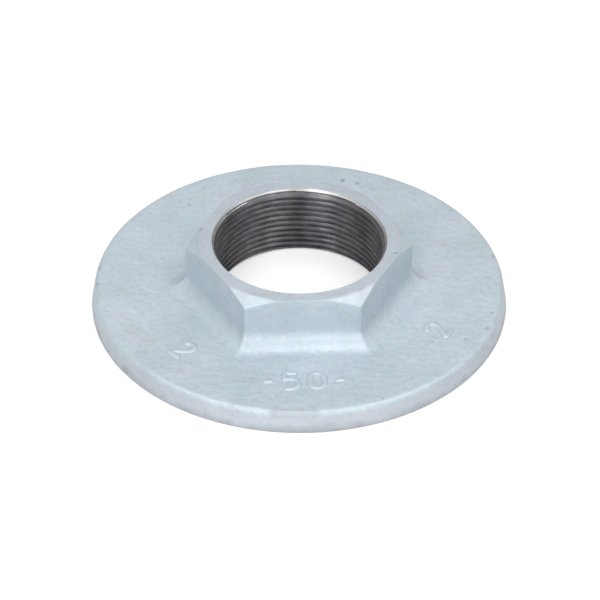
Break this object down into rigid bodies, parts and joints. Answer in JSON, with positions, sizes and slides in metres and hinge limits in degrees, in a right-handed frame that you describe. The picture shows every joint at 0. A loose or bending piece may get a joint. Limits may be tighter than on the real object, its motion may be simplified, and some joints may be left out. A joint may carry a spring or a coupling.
{
  "type": "threaded pipe flange",
  "caption": "Round undrilled flange with a hexagonal hub and a female pipe thread through it, cast in one piece and galvanized, screwed onto the end of a steel pipe.",
  "frame": {"origin": "centre of the underside, on the axis of the bore", "axes": "+Z along the bore out of the hub, and one flat of the hexagonal hub towards -Y"},
  "size_m": [0.1448, 0.1448, 0.0256],
  "materials": {
    "galvanized_iron": "hot-dip zinc, matt pale blue-grey, with the bore wall bare machined metal, dark and oiled"
  },
  "bodies": {
    "root": {"flange": "galvanized_iron"}
  },
  "joints": []
}
